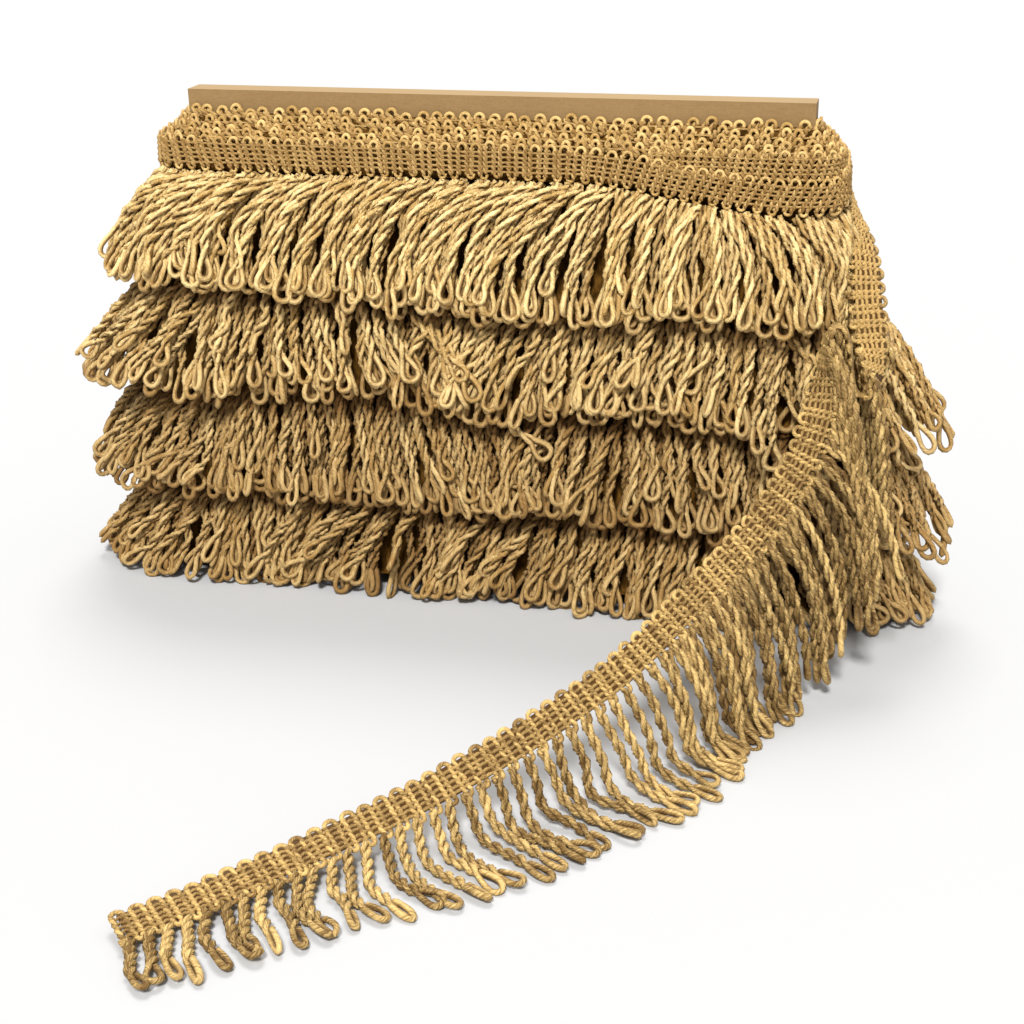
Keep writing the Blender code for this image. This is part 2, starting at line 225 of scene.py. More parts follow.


# spun yarn: fine strands wound round each ply, soft fibre streaks, and painted shade deep in the gaps and in
# the grooves between plies
def buildYarnGroup(look):
    group = bpy.data.node_groups.new("spunYarn", "ShaderNodeTree")
    for label, kind, value in (
        ("Turn", "NodeSocketVector", (0.0, 0.0, 0.0)),
        ("Tone And Shade", "NodeSocketVector", (0.5, 0.0, 0.0)),
        ("Light Gold", "NodeSocketColor", (0.7, 0.5, 0.2, 1.0)),
        ("Deep Gold", "NodeSocketColor", (0.3, 0.18, 0.06, 1.0)),
        ("Painted Shade Brown", "NodeSocketColor", (0.05, 0.03, 0.01, 1.0)),
        ("Warm Shade", "NodeSocketColor", (0.62, 0.46, 0.31, 1.0)),
        ("Strand Spacing", "NodeSocketFloat", 1.6),
        ("Strand Depth", "NodeSocketFloat", 0.3),
    ):
        socket = group.interface.new_socket(label, in_out="INPUT", socket_type=kind)
        socket.default_value = value
    for label, kind in (("Color", "Color"), ("Roughness", "Float"), ("Normal", "Vector")):
        group.interface.new_socket(label, in_out="OUTPUT", socket_type="NodeSocket" + kind)
    given = group.nodes.new("NodeGroupInput").outputs
    put = group.nodes.new("NodeGroupOutput").inputs
    turn = addNode(group, "ShaderNodeSeparateXYZ", _0=given["Turn"]).outputs
    tone = addNode(group, "ShaderNodeSeparateXYZ", _0=given["Tone And Shade"]).outputs
    phase = maths(group, "MULTIPLY", maths(group, "DIVIDE", turn[2], given["Strand Spacing"]), 2.0 * math.pi)
    sine, cosine = maths(group, "SINE", phase), maths(group, "COSINE", phase)
    against = maths(group, "MULTIPLY", maths(group, "MULTIPLY", turn[1], sine), -1.0)
    turnedX = maths(group, "MULTIPLY_ADD", turn[0], cosine, against)
    turnedY = maths(group, "MULTIPLY_ADD", turn[0], sine, maths(group, "MULTIPLY", turn[1], cosine))
    # the noise is read round the ply, turned with the spin, and each yarn reads its own stretch of it
    own = maths(group, "MULTIPLY_ADD", tone[0], 60.0, maths(group, "MULTIPLY", turn[2], 0.12))
    spun = addNode(group, "ShaderNodeCombineXYZ", _0=turnedX, _1=turnedY, _2=own).outputs[0]
    away = maths(group, "MULTIPLY", tone[0], 90.0)
    lengthwise = addNode(group, "ShaderNodeCombineXYZ", _0=away, _1=turn[2]).outputs[0]
    strands = noiseAt(group, spun, look["strandScale"], 1.0)
    fibre = noiseAt(group, spun, look["fibreScale"], 3.0, 0.7)
    slow = noiseAt(group, lengthwise, look["slowScale"], 2.0)
    ridge = stretchRange(group, strands, 0.32, 0.68)
    fibreTone = maths(group, "MULTIPLY", fibre, look["fibreLight"])
    slowTone = maths(group, "MULTIPLY_ADD", slow, look["slowLight"], -0.5 * look["slowLight"])
    ownTone = maths(group, "MULTIPLY_ADD", tone[0], look["ownLight"], -look["ownDark"])
    light = maths(group, "MULTIPLY_ADD", ridge, look["ridgeLight"], fibreTone)
    light = maths(group, "ADD", maths(group, "ADD", light, slowTone), ownTone)
    smooth = {"interpolation_type": "SMOOTHSTEP"}
    ramp = stretchRange(group, light, look["deepAt"], look["lightAt"], settings=smooth)
    colour = mixColour(group, ramp, given["Deep Gold"], given["Light Gold"])
    # painted shade on the side of each ply turned to the other, in the groove between them
    grooveShade = stretchRange(group, turn[0], 0.15, -0.75, 0.0, look["grooveShade"])
    grooveShade = maths(group, "SUBTRACT", grooveShade, tone[2])
    # painted shade: the greater of the yarn's own painted shade and the groove's turns the colour warm and
    # dark
    paintedShade = maths(group, "MAXIMUM", tone[1], grooveShade)
    colour = mixColour(group, paintedShade, colour, given["Warm Shade"], "MULTIPLY")
    colour = mixColour(group, paintedShade, colour, given["Painted Shade Brown"])
    group.links.new(colour, put["Color"])
    rough = maths(group, "MULTIPLY_ADD", paintedShade, look["darkRough"], look["roughness"])
    group.links.new(maths(group, "MULTIPLY_ADD", fibre, look["fibreRough"], rough), put["Roughness"])
    height = maths(group, "MULTIPLY_ADD", fibre, 0.5, ridge)
    bump = addNode(group, "ShaderNodeBump", Strength=given["Strand Depth"], Distance=0.0004, Height=height)
    group.links.new(bump.outputs[0], put["Normal"])
    return group


yarnGroup = buildYarnGroup(yarnLook)

yarnFinishes = {
    # light and deep colours, painted shade colour of the gaps, turn of the fibres in mm, depth of the fibres,
    # sheen
    "cordGold": ((0.95, 0.72, 0.33), (0.46, 0.275, 0.078), (0.09, 0.037, 0.004), 7.0, 0.6, 0.05),
    "weaveGold": ((0.78, 0.54, 0.21), (0.36, 0.20, 0.048), (0.070, 0.027, 0.003), 5.0, 0.5, 0.05),
    "tailCordGold": ((0.92, 0.65, 0.25), (0.17, 0.09, 0.017), (0.055, 0.022, 0.002), 6.0, 0.9, 0.05),
    "tailWeaveGold": ((0.69, 0.46, 0.16), (0.15, 0.077, 0.015), (0.055, 0.022, 0.002), 5.0, 0.5, 0.05),
}


def yarnMaterial(name):
    light, deep, shadeBrown, spacing, depth, sheen = yarnFinishes[name]
    material, tree, shader = newMaterial(name, 0.5, yarnLook["specular"])
    look = tree.nodes.new("ShaderNodeGroup")
    look.node_tree = yarnGroup
    for label, attribute in (("Turn", "yarnTurn"), ("Tone And Shade", "yarnToneAndShade")):
        source = addNode(tree, "ShaderNodeAttribute", {"attribute_name": attribute})
        tree.links.new(source.outputs["Vector"], look.inputs[label])
    for label, value in (("Light Gold", light), ("Deep Gold", deep), ("Painted Shade Brown", shadeBrown)):
        look.inputs[label].default_value = (*value, 1.0)
    look.inputs["Strand Spacing"].default_value = spacing
    look.inputs["Strand Depth"].default_value = depth
    for label, target in (("Color", "Base Color"), ("Roughness", "Roughness"), ("Normal", "Normal")):
        tree.links.new(look.outputs[label], shader.inputs[target])
    shader.inputs["Sheen Weight"].default_value = sheen
    shader.inputs["Sheen Roughness"].default_value = 0.4
    shader.inputs["Sheen Tint"].default_value = yarnLook["sheenTint"]
    return material


materials = {name: yarnMaterial(name) for name in yarnFinishes}
print("yarn materials ready")

# the wound form, in the solids' own sizes: a straight run with a round turn at each end
wound = {
    "halfSpine": 150.0,
    "turnRadius": 35.0,
    "roundness": 2.4,
    # top, tip, root reach: front, left, right, tip reach: front, left, right front, right back
    "skirts": [
        (217.0, 159.0, 20.0, 24.0, 21.5, 41.0, 55.0, 29.0, 45.0),
        (157.0, 107.0, 27.0, 38.0, 36.0, 41.0, 72.0, 66.0, 66.0),
        (105.0, 54.0, 27.0, 44.0, 44.0, 41.0, 75.0, 72.0, 72.0),
        (52.0, 0.0, 27.0, 48.0, 48.0, 41.0, 77.0, 75.0, 75.0),
    ],
    "tipStations": [-150.0, -100.0, -50.0, 0.0, 50.0, 100.0, 150.0],
    "tipLifts": [
        [8.0, 4.0, 0.0, -2.0, -2.0, 1.0, -1.0],
        [0.0, 3.0, 6.0, -4.0, 0.0, 1.0, -2.0],
        [-1.0, 1.0, 2.0, -4.0, 1.0, -2.0, -5.0],
        [0.0, 0.0, 0.0, 0.0, 0.0, 0.0, 0.0],
    ],
    # height, reach in front, at the left end, at the right end
    "inner": [(9.0, 7.8, 7.8, 7.8), (246.5, 7.8, 7.8, 7.8)],
    "stack": [
        (246.5, 9.0, 9.6, 9.4),
        (241.5, 12.0, 14.2, 13.4),
        (237.5, 15.0, 18.6, 17.2),
        (233.0, 17.2, 23.6, 21.2),
        (219.0, 17.6, 24.4, 22.0),
    ],
}
loopLength = 4.0 * wound["halfSpine"] + 2.0 * np.pi * wound["turnRadius"]


# share of the loop, from the front left corner, to the place on the spine and the way outwards
def loopPlace(share):
    half, radius = wound["halfSpine"], wound["turnRadius"]
    walked = np.mod(share, 1.0) * loopLength
    run, turn = 2.0 * half, np.pi * radius
    firstTurn = (walked - run) / radius - np.pi / 2
    lastTurn = (walked - 2.0 * run - turn) / radius + np.pi / 2
    onFront, onRight, onBack = walked < run, walked < run + turn, walked < 2.0 * run + turn
    behind = np.where(onBack, run + turn + half - walked, -half)
    spine = np.where(onFront, walked - half, np.where(onRight, half, behind))
    angle = np.where(onRight, firstTurn, lastTurn)
    cosine = np.where(onFront, 0.0, np.where(onRight | ~onBack, np.cos(angle), 0.0))
    sine = np.where(onFront, -1.0, np.where(onRight | ~onBack, np.sin(angle), 1.0))
    return spine, cosine, sine


def squared(value):
    return np.sign(value) * np.abs(value) ** (2.0 / wound["roundness"])


def outlineSpot(place, front, left, right, height):
    spine, cosine, sine = place
    end = np.where(cosine > 0.0, right, left)
    height = np.broadcast_to(height, np.broadcast(spine, front, height).shape)
    x, y = spine + end * squared(cosine), front * squared(sine)
    return np.stack([x + 0.0 * height, y + 0.0 * height, height], axis=-1)


def tipHeight(skirt, place):
    lifts = wound["tipLifts"][skirt]
    front = np.interp(place[0], wound["tipStations"], lifts)
    back = np.interp(place[0], wound["tipStations"], lifts[::-1])
    return wound["skirts"][skirt][1] + blendTo(front, back, (1.0 + place[2]) / 2.0)


# how far the outermost turn's heading sinks towards the right end, where it leaves the stack
headingDip = {"from": 40.0, "to": 150.0, "drop": 12.0}


def dipAt(place):
    spine, cosine, sine = place
    run = np.clip((spine - headingDip["from"]) / (headingDip["to"] - headingDip["from"]), 0.0, 1.0)
    fade = np.clip(0.5 - 0.75 * sine, 0.0, 1.0)
    return headingDip["drop"] * run * run * (3.0 - 2.0 * run) * fade


def topHeight(skirt, place):
    if skirt == 0:
        return wound["skirts"][0][0] - dipAt(place)
    return tipHeight(skirt - 1, place) - (wound["skirts"][skirt - 1][1] - wound["skirts"][skirt][0])


def skirtSpot(skirt, share, place, extra, height):
    row = wound["skirts"][skirt]
    flare = share * (0.75 + 0.25 * share)
    rightTip = blendTo(row[7], row[8], (1.0 + place[2]) / 2.0)
    front, left, right = (
        blendTo(root, tip, flare) + extra for root, tip in zip(row[2:5], (row[5], row[6], rightTip))
    )
    return outlineSpot(place, front, left, right, height)


# bands of heading: a middle line, the way along, the way across to the fringe edge, and the face
def bandFrom(middle, across):
    along = unit(np.gradient(middle, axis=0))
    across = unit(across - along * dot(across, along))
    face = np.cross(along, across)
    walked = lengthAlong(middle)
    return {"middle": middle, "along": along, "across": across, "face": face, "walked": walked}


# from band sizes (along, across from the middle, out of the face) to space
def onBand(band, u, v, w):
    def read(key):
        return np.stack([np.interp(u, band["walked"], band[key][:, i]) for i in range(3)], axis=-1)

    return read("middle") + unit(read("across")) * v[..., None] + unit(read("face")) * w[..., None]


weaveSetup = {
    # one scallop to a pitch, over two ribs; how far the ribs stand from its middle, in pitches
    "pitch": 7.4,
    "width": 16.0,
    "ribReach": 0.25,
    "scallopRoom": 2.4,
    # how much of the width shows
    "shown": 15.6,
    # a rib's plies: length of half a turn, radius and offset, and the painted shade on their side turned
    # towards the body
    "bead": 3.0,
    "ribStep": 0.8,
    "plyRadius": 0.94,
    "plyOffset": 0.78,
    "turnedShade": 0.35,
    # how much the ribs stray, and their lean by share of the way along the band: shares, leans
    "wander": 0.12,
    "shiftShare": 1.6,
    "dropShare": 1.8,
    "slant": ((0.0, 1.0), (0.0, 0.0)),
    "scallopRadius": 0.82,
    "archReach": 0.28,
    "archRise": -2.1,
    "footArcs": True,
    "footRise": 1.6,
    # an arc runs this many radians past half a turn at each end, and stands off the face in its middle
    "archOverrun": 0.35,
    "archSteps": 10,
    "archLevel": 0.25,
    "rungGap": 2.3,
    "rungRadius": 0.55,
    "rungLevel": -0.5,
    "rungWeave": 0.45,
    # painted shade on the rungs, which lie below the ribs, and over the whole band
    "rungShade": 0.25,
    "shade": 0.0,
    # up to this many mm along the band its back faces outward, lighter by painted light
    "foldAt": -1.0,
    "foldPaintedLight": 0.9,
}


# tubes that lie on a band and have no groove between plies
def flatTubes(band, path, radius, sides, own, shade):
    sideways, down, level = path
    centres = onBand(band, sideways, down, level)
    outward = onBand(band, sideways, down, level + 1.0) - centres
    tone = np.zeros((*sideways.shape, 3))
    tone[..., 0] = own
    tone[..., 1] = shade
    tone[..., 2] = 1.0
    return makeTubes(centres, outward, radius, sides, tone)


# one small arc at each middle
def arcTubes(band, setup, middle, lower, reach, start, rise):
    angle = np.linspace(-setup["archOverrun"], np.pi + setup["archOverrun"], setup["archSteps"])
    sideways = np.clip(middle[:, None] - reach * np.cos(angle), 0.0, band["walked"][-1])
    down = start + rise * np.sin(angle) + lower[:, None]
    level = np.zeros(sideways.shape) + setup["archLevel"] * np.sin(angle)
    own = dice.random((len(middle), 1))
    return flatTubes(band, (sideways, down, level), setup["scallopRadius"], 5, own, setup["shade"])


# rungs along the band, which pass over and under the ribs
def rungTubes(band, setup, pitch, top, bottom):
    rungs = np.arange(top + 1.5, bottom - 0.6, setup["rungGap"])[:, None]
    sideways = np.tile(np.arange(0.0, band["walked"][-1], pitch / 4.0), (len(rungs), 1))
    down = rungs + 0.2 * np.sin(sideways / 9.0 + rungs)
    level = setup["rungLevel"] + setup["rungWeave"] * np.cos(4.0 * np.pi * sideways / pitch)
    level = level * np.where(sideways > setup["foldAt"], 1.0, -1.0)
    # painted light on the turned back before the fold, and painted shade on the rungs
    own = 0.5 + setup["foldPaintedLight"] * (sideways < setup["foldAt"])
    shade = setup["shade"] + setup["rungShade"]
    return flatTubes(band, (sideways, down, level), setup["rungRadius"], 4, own, shade)


# ribs across the heading, each a fine two-ply twist, with a scallop over each pair and small arcs under them
def weaveTubes(band, setup):
    total = band["walked"][-1]
    count = int(total // setup["pitch"])
    pitch = total / count
    half, ribGap = setup["width"] / 2, pitch * setup["ribReach"]
    top, bottom = setup["scallopRoom"] - half, setup["shown"] - half
    centre = (np.arange(count) + 0.5) * pitch
    ribs = (centre[:, None] + np.array([-ribGap, ribGap])).reshape(-1)
    leaning = np.interp(ribs / total, *setup["slant"])[:, None]
    wander, shade, offset = setup["wander"], setup["shade"], setup["plyOffset"]
    shift = np.repeat(dice.normal(0.0, wander * setup["shiftShare"], count), 2)
    drop = np.repeat(dice.normal(0.0, wander * setup["dropShare"], count), 2)
    steps = int(round((bottom - top) / setup["ribStep"])) + 1
    across = np.linspace(top, bottom, steps)[None]
    phase = dice.uniform(0.0, np.pi, (2 * count, 1)) + np.pi * (across - top) / setup["bead"]
    tilt = dice.normal(0.0, wander, (2 * count, 1))
    sideways = (ribs + shift)[:, None] + tilt * across / half + leaning * (across - top)
    down = across + drop[:, None]
    level = np.zeros(sideways.shape) + dice.normal(0.0, wander, (2 * count, 1))
    batches = []
    for side in (1.0, -1.0):
        sway, out = side * offset * np.cos(phase), side * offset * np.sin(phase)
        centres = onBand(band, sideways + sway, down, level + out)
        outward = onBand(band, sideways + 2.0 * sway, down, level + 2.0 * out) - centres
        # own tone at random, painted light on the turned back before the fold, and painted shade on the side
        # of each ply turned to the body
        tone = np.zeros((2 * count, steps, 3))
        tone[..., 0] = dice.random((2 * count, 1)) + setup["foldPaintedLight"] * (sideways < setup["foldAt"])
        tone[..., 1] = np.clip(shade + 0.03 - setup["turnedShade"] * out / offset, shade, 0.75)
        batches.append(makeTubes(centres, outward, setup["plyRadius"], 4, tone))
    scallop, lower = centre + shift[::2], drop[::2]
    batches.append(arcTubes(band, setup, scallop, lower, setup["archReach"] * pitch, top, setup["archRise"]))
    if setup["footArcs"]:
        foot = scallop + pitch / 2.0 + leaning[::2, 0] * (bottom - top)
        batches.append(arcTubes(band, setup, foot, lower, pitch / 2.0 - ribGap, bottom, setup["footRise"]))
    batches.append(rungTubes(band, setup, pitch, top, bottom))
    return batches


bandSteps = 420
stackLean = 0.06


# heading round the stack at one height of its scallops and one reach, from one share of the loop to another
def stackBand(height, front, left, right, fromShare=0.0, toShare=1.0, dips=False):
    place = loopPlace(np.linspace(fromShare, toShare, bandSteps))
    middle = outlineSpot(place, front, left, right, height - weaveSetup["width"] / 2)
    if dips:
        middle[..., 2] -= dipAt(place)
    level = np.zeros(len(middle))
    down = np.stack([level, level, level - 1.0], axis=-1)
    outward = unit(np.stack([middle[:, 0] - place[0], middle[:, 1], level], axis=-1))
    return bandFrom(middle, down + outward * stackLean)


stackRows = [
    # height, reach in front, left and right, half width of a scallop in pitches
    (249.4, 9.8, 10.6, 10.2, 0.3),
    (246.0, 12.4, 14.2, 13.2, 0.23),
    (242.6, 15.0, 17.8, 16.4, 0.23),
    (239.6, 17.4, 21.4, 19.6, 0.23),
]
stackSetup = dict(
    weaveSetup,
    plyRadius=1.05,
    plyOffset=0.8,
    scallopRadius=0.95,
    rungGap=3.2,
    bead=2.8,
    shown=6.6,
    footArcs=False,
    wander=0.4,
    slant=(
        (0.0, 0.1, 0.22, 0.33, 0.38, 0.46, 0.52, 0.95, 1.0),
        (0.85, 0.8, 0.45, 0.15, -0.7, -0.6, 0.0, 0.0, 0.8),
    ),
)
# the turn under the outermost one, which shows at the right end
underBand = {"height": 237.2, "front": 18.2, "left": 24.0, "right": 21.8, "fromShare": 0.28, "toShare": 0.56}
underSlant = ((0.0, 0.6, 1.0), (0.0, -0.5, -0.5))
underSetup = dict(weaveSetup, bead=2.3, shown=14.0, footArcs=False, slant=underSlant)


def buildHeadingStack():
    batches = []
    for height, front, left, right, archReach in stackRows:
        batches += weaveTubes(stackBand(height, front, left, right), dict(stackSetup, archReach=archReach))
    batches += weaveTubes(stackBand(**underBand), underSetup)
    return meshOfTubes("headingStack", batches, materials["weaveGold"])


outerBand = {
    "height": 236.6,
    "front": 20.0,
    "left": 26.6,
    "right": 24.0,
    "fromShare": -0.58,
    "toShare": 0.47,
    "dips": True,
}
outerSetup = dict(
    weaveSetup,
    plyRadius=0.86,
    plyOffset=0.62,
    rungRadius=0.6,
    rungLevel=-0.2,
    ribReach=0.29,
    bead=2.6,
    shown=15.4,
    wander=0.18,
    slant=((0.0, 0.45, 0.55, 0.70, 0.80, 0.89, 1.0), (0.0, 0.1, 0.28, 0.06, -0.06, -0.4, -0.7)),
    shade=0.04,
)


def buildOuterHeading():
    batches = weaveTubes(stackBand(**outerBand), outerSetup)
    return meshOfTubes("outerHeading", batches, materials["weaveGold"])


# the wound body behind the cords, dark with painted shade
coreSetup = {
    "inset": 7.5,
    "ringShares": (0.0, 0.35, 0.8, 1.0),
    "steps": 240,
    "lowest": 9.0,
    "deepShadeBrown": (0.035, 0.015, 0.0015, 1.0),
    "streakShadeBrown": (0.13, 0.06, 0.010, 1.0),
    "streakScale": (420.0, 420.0, 60.0),
}


# brown streaks that run down like cords, dark with painted shade
def shadedYarn(look):
    material, tree, shader = newMaterial("shadedYarn", roughness=0.9, specular=0.05)
    spot = tree.nodes.new("ShaderNodeTexCoord").outputs["Object"]
    stretch = addNode(tree, "ShaderNodeMapping", _0=spot, Scale=look["streakScale"]).outputs[0]
    noise = noiseAt(tree, stretch, 1.0, 3.0)
    streaks = stretchRange(tree, noise, 0.42, 0.66)
    colour = mixColour(tree, streaks, look["deepShadeBrown"], look["streakShadeBrown"])
    tree.links.new(colour, shader.inputs["Base Color"])
    addBump(tree, shader, noise, 0.6, 0.001)
    return material


def buildWoundCore():
    share = np.arange(coreSetup["steps"]) / coreSetup["steps"]
    place = loopPlace(share)
    walls = wound["inner"] + wound["stack"]
    profile = [outlineSpot(place, front, left, right, height) for height, front, left, right in walls]
    for skirt in range(4):
        for at in coreSetup["ringShares"]:
            height = blendTo(topHeight(skirt, place), tipHeight(skirt, place), at)
            height = np.maximum(height, coreSetup["lowest"])
            profile.append(skirtSpot(skirt, at, place, -coreSetup["inset"], height))
    points = np.stack(profile, axis=1)
    count, rings = points.shape[:2]
    index = np.arange(count * rings).reshape(count, rings)
    after = np.roll(index, -1, axis=0)
    quads = np.stack([index, after, np.roll(after, -1, axis=1), np.roll(index, -1, axis=1)], axis=-1)
    mesh = bpy.data.meshes.new("woundCore")
    mesh.from_pydata((points.reshape(-1, 3) * mm).tolist(), [], quads.reshape(-1, 4).tolist())
    mesh.update()
    mesh.materials.append(shadedYarn(coreSetup))
    return addObject("woundCore", mesh)


# looped cords of two plies
cordSetup = {
    "plyRadius": 1.45,
    "plyOffset": 1.3,
    "sides": 4,
    "uneven": 0.07,
    "loopLength": 12.5,
    "loopWidth": 3.4,
    "loopSteps": 9,
    # how the loops differ: turn about the cord, size, opening, curl out of their plane
    "loopTurn": 0.7,
    "loopSize": (0.7, 1.12),
    "openness": (0.65, 1.2),
    "curl": 0.8,
}


# axis lines of the cords in, tubes of their plies and end loops out
def twistedCords(axis, sideways, tone, twist, setup):
    count = len(axis)
    tangent = unit(np.gradient(axis, axis=1))
    first = unit(sideways[:, None] - tangent * dot(sideways[:, None], tangent))
    second = np.cross(tangent, first)
    walked = lengthAlong(axis)
    loopTurn = dice.normal(0.0, setup["loopTurn"], count)[:, None]
    size = dice.uniform(*setup["loopSize"], count)[:, None]
    wide = dice.uniform(*setup["openness"], count)[:, None]
    phase = loopTurn - 2.0 * np.pi * (walked[:, -1:] - walked) / twist[:, None]
    spoke = np.cos(phase)[..., None] * first + np.sin(phase)[..., None] * second
    offset = setup["plyOffset"]
    angle = np.pi * np.arange(1, setup["loopSteps"] + 1) / (setup["loopSteps"] + 1)
    arch = np.sin(angle)[None]
    down, inPlane = tangent[:, -1:], spoke[:, -1:]
    bulge = 2.0 * (setup["loopWidth"] * wide - 0.7 * offset)
    acrossLoop = (np.cos(angle)[None] * (offset + bulge * arch))[..., None]
    downLoop = (setup["loopLength"] * size * arch**0.9)[..., None]
    curl = (dice.normal(0.0, setup["curl"], (count, 1)) * arch**2)[..., None]
    loop = axis[:, -1:] + down * downLoop + inPlane * acrossLoop + np.cross(down, inPlane) * curl
    loopOut = inPlane * acrossLoop + down * (downLoop - 0.5 * setup["loopLength"] * size[..., None])
    centres = np.concatenate([axis + spoke * offset, loop, (axis - spoke * offset)[:, ::-1]], axis=1)
    outward = np.concatenate([spoke, loopOut, -spoke[:, ::-1]], axis=1)
    tones = np.concatenate([tone, np.repeat(tone[:, -1:], setup["loopSteps"], axis=1), tone[:, ::-1]], axis=1)
    swell = np.sin(np.cumsum(dice.normal(0.0, 0.9, centres.shape[:2]), axis=1))
    radius = setup["plyRadius"] * (1.0 + setup["uneven"] * swell)
    return makeTubes(centres, outward, radius, setup["sides"], tones)


# a wave along each cord, with its own length and start
def ownWave(steps, between, count):
    waves = dice.uniform(*between, (count, 1))
    return np.sin(2.0 * np.pi * (steps * waves + dice.random((count, 1))))


# how far the cords of each tier swing aside, along the front from left to right; place and width of a tangle
leanStations = np.arange(-150.0, 151.0, 25.0)
tierLeans = [
    [-34, -34, -28, -22, -20, -24, -30, -34, -30, -10, 0, 18, 36],
    [-12, -2, 4, 8, 12, 10, -14, -10, -4, -6, -4, -2, 2],
    [-8, 0, 3, 4, 8, 16, 18, -14, -4, 2, 5, 4, 4],
    [-10, 8, -14, -26, -20, 6, -22, -14, -4, -4, -3, 2, 5],
]
tierTangles = [(-60.0, 16.0), (-32.0, 24.0), (10.0, 22.0), (-45.0, 28.0)]
layerSetup = [
    # root and tip reach over the body's wall, stations along a cord, start as a share of the drop, painted
    # shade
    {"root": -3.0, "tip": -0.6, "stations": 14, "start": 0.12, "layerShade": 0.30},
    {"root": -0.4, "tip": 2.6, "stations": 20, "start": -0.03, "layerShade": 0.10},
    {"root": 1.4, "tip": 5.6, "stations": 22, "start": -0.05, "layerShade": 0.0},
]
tierSetup = {
    # cords round each tier, how many times as many in each layer, and how unevenly spaced
    "cords": (128, 112, 112, 112),
    "more": (1.26, 1.12, 1.0),
    "spacing": 0.16,
    # share of the tier's lean in each layer, how much it differs, and a waving lean at the back
    "innerLean": (0.3, 0.7, 1.0),
    "leanJitter": 2.8,
    "backLean": 5.0,
    "backWaves": 9.0,
    # freedom of the cords in each layer, what a tangle adds to lean and tip height, and its reach outward
    "loose": (0.35, 0.55, 1.0),
    "tangleLean": 9.0,
    "tangleLift": 9.0,
    "tangleReach": (-2.0, 4.0),
    # a few cords stray from the top layer: how many, how far aside and how far outward
    "strays": 0.12,
    "strayLean": 15.0,
    "strayReach": 1.5,
    # tips differ in height, and some end higher: by tier, share of it by layer, power and reach outward
    "tipJitter": 3.0,
    "tipLift": (12.0, 21.0, 21.0, 16.0),
    "layerLift": (0.0, 0.4, 1.0),
    "liftPower": 1.8,
    "liftMost": 21.0,
    "liftReach": 2.2,
    "innerDrop": 2.0,
    "floorClear": 1.5,
    # share of a loop's length that hangs below the cord's end
    "loopShare": 0.874,
    # the first tier's cords arch over: powers of their swing aside and of their drop
    "archSwing": 1.8,
    "archDrop": 1.22,
    # painted shade under the tier above, the share of the cords that it covers, and the most painted shade a
    # cord gets
    "rootShade": 0.8,
    "rootShare": 1.0 / 2.4,
    "darkest": 0.92,
    # the cords sway aside and wave in and out: by how much, and the fewest and most waves a cord
    "sway": (0.5, 2.2),
    "swayWaves": (0.6, 1.3),
    "wave": 0.8,
    "waveWaves": (0.6, 1.4),
    "reachJitter": 1.1,
    # the first tier has no top layer where the loose end covers it: shares of the loop, less reach
    "bareFrom": 0.36,
    "bareTo": 0.47,
    "bareReach": 2.4,
    "bow": (3.4, 1.8, 1.8, 1.6),
    "twist": ((19.0, 26.0), (14.0, 20.0), (14.0, 20.0), (14.0, 20.0)),
    # painted shade of each tier, deeper on the lower tiers
    "shade": (0.0, 0.14, 0.31, 0.32),
    # extra cords: first and last share of the loop, count
    "extras": {"rightEnd": (0.352, 0.50, 24), "corner": (-0.03, 0.022, 12)},
    "extraSpacing": 0.002,
    # those of the right end hang lower, stick out and are darker with painted shade; those of the corner lean
    # less
    "endDrop": 15.0,
    "endReach": 4.5,
    "endShade": 0.12,
    "cornerLean": 0.2,
    # at the left end the tips splay outward: by tier, from leftFrom to leftTo along the front, in waves
    "leftReach": (3.5, 8.5, 5.5, 4.0),
    "leftFrom": -122.0,
    "leftTo": -148.0,
    "leftWaves": 260.0,
}


def isBare(share):
    walked = np.mod(share, 1.0)
    return (walked > tierSetup["bareFrom"]) & (walked < tierSetup["bareTo"])


def cordShares(skirt, number, where):
    count = int(tierSetup["cords"][skirt] * tierSetup["more"][number])
    share = (np.arange(count) + 0.5 * (number % 2) + dice.normal(0.0, tierSetup["spacing"], count)) / count
    if where in tierSetup["extras"]:
        begin, finish, count = tierSetup["extras"][where]
        return np.linspace(begin, finish, count) + dice.normal(0.0, tierSetup["extraSpacing"], count)
    return share[~isBare(share)] if skirt == 0 and number == 2 else share


# how much further than the tier's wall the tips reach at the left end
def leftSplay(skirt, share, spine):
    begin, finish = tierSetup["leftFrom"], tierSetup["leftTo"]
    splay = np.clip((spine - begin) / (finish - begin), 0.0, 1.0)
    return splay * (0.7 + 0.3 * np.sin(tierSetup["leftWaves"] * share)) * tierSetup["leftReach"][skirt]


